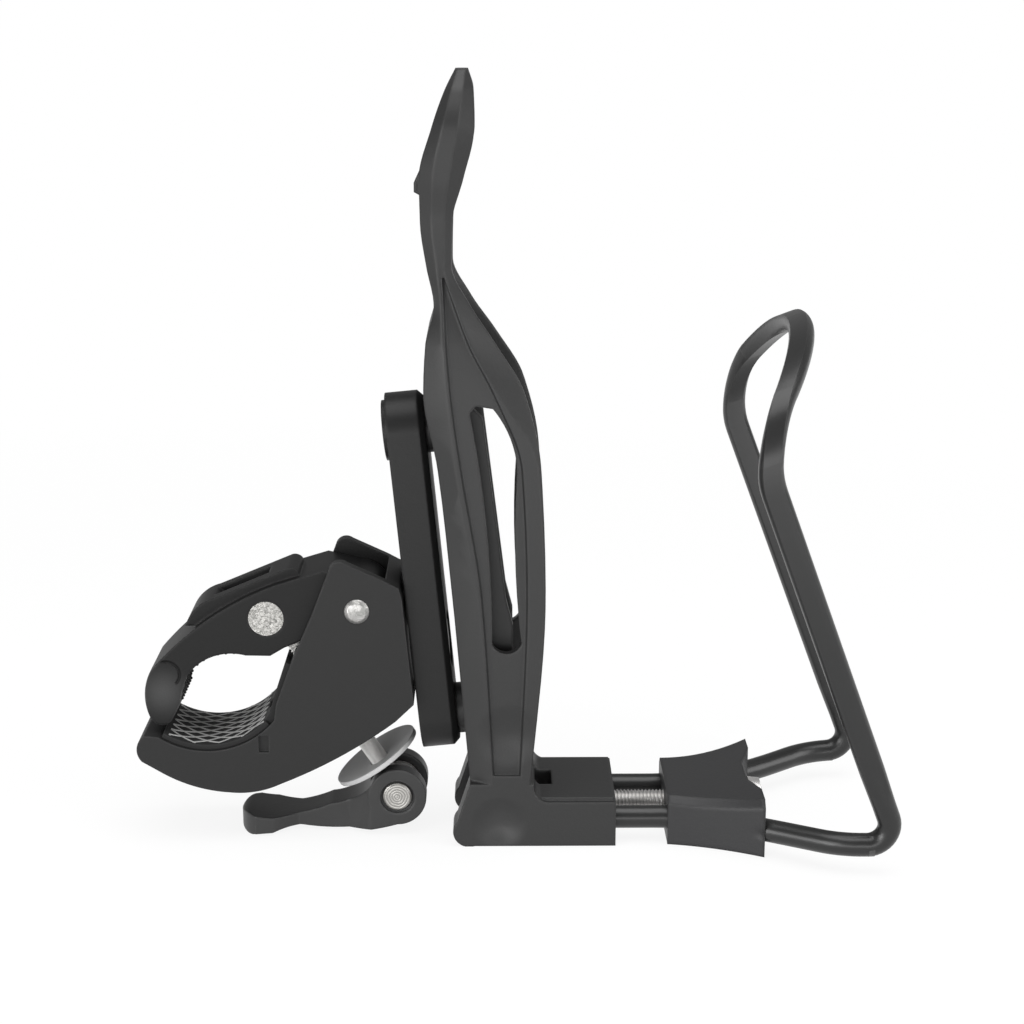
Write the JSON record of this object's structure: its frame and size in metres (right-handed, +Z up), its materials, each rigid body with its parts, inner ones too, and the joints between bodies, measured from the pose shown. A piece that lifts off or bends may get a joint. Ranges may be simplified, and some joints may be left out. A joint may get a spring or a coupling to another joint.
{
  "type": "bottle cage",
  "caption": "Adjustable bottle cage: moulded back with tongue and foot, sliding wire bail on a screw, and a swivelling quick-release clamp for a tube.",
  "frame": {"origin": "axis of the clamped tube, half way across the clamp", "axes": "+Y along the clamped tube, +X from the tube towards the wire bail, +Z up along the cage"},
  "size_m": [0.1634, 0.0684, 0.1661],
  "materials": {
    "black_plastic": "fine moulded texture, matt",
    "pad_rubber": "ribbed rubber",
    "bare_steel": "zinc plated",
    "black_metal": "die-cast, black coated",
    "black_rod": "satin black coating"
  },
  "bodies": {
    "clamp": {"clamp_body": "black_plastic", "lower_pad": "pad_rubber", "hinge_rivet": "bare_steel", "swivel_bolt": "bare_steel", "swivel_disc": "black_plastic", "swivel_washer": "bare_steel", "swivel_nut": "bare_steel"},
    "jaw": {"upper_jaw": "black_plastic", "upper_pad": "pad_rubber"},
    "bolt": {"barrel_nut": "bare_steel", "draw_bolt": "bare_steel", "cam_washer": "bare_steel"},
    "lever": {"cam_lever": "black_metal", "lever_pin": "bare_steel"},
    "cage": {"adapter_bar": "black_plastic", "cage_back": "black_plastic", "upper_mount_screw": "bare_steel", "upper_mount_washer": "bare_steel", "upper_mount_nut": "bare_steel", "lower_mount_screw": "bare_steel", "lower_mount_washer": "bare_steel", "lower_mount_nut": "bare_steel", "foot_nut": "bare_steel"},
    "bail": {"wire_bail": "black_rod", "collar": "black_plastic"},
    "adjuster": {"adjuster_screw": "bare_steel"}
  },
  "joints": [
    {"name": "swivel", "type": "hinge", "parent": "clamp", "child": "cage", "pos_m": [0.0444, 0, 0.0025], "axis": [0.9954, 0, 0.0958], "continuous": true},
    {"name": "jaw_hinge", "type": "hinge", "parent": "clamp", "child": "jaw", "pos_m": [0.033, 0, 0.0127], "axis": [0, 1, 0], "range_deg": [0, 14]},
    {"name": "bolt_swing", "type": "hinge", "parent": "jaw", "child": "bolt", "pos_m": [0.0133, 0, 0.0104], "axis": [0, 1, 0], "range_deg": [-9.9, 0.1]},
    {"name": "lever_pivot", "type": "hinge", "parent": "bolt", "child": "lever", "pos_m": [0.0409, 0, -0.0314], "axis": [0, 1, 0], "range_deg": [-78, 0]},
    {"name": "bail_slide", "type": "slide", "parent": "cage", "child": "bail", "axis": [1, 0, 0], "range_m": [-0.009, 0.011]},
    {"name": "adjuster_spin", "type": "hinge", "parent": "bail", "child": "adjuster", "pos_m": [0.11, 0, -0.03515], "axis": [1, 0, 0], "range_deg": [-4060, 4960]}
  ],
  "couplings": [
    {"joint": "bolt_swing", "follows": "jaw_hinge", "ratio": -0.7},
    {"joint": "adjuster_spin", "follows": "bail_slide", "rad_per_m": 7854}
  ]
}
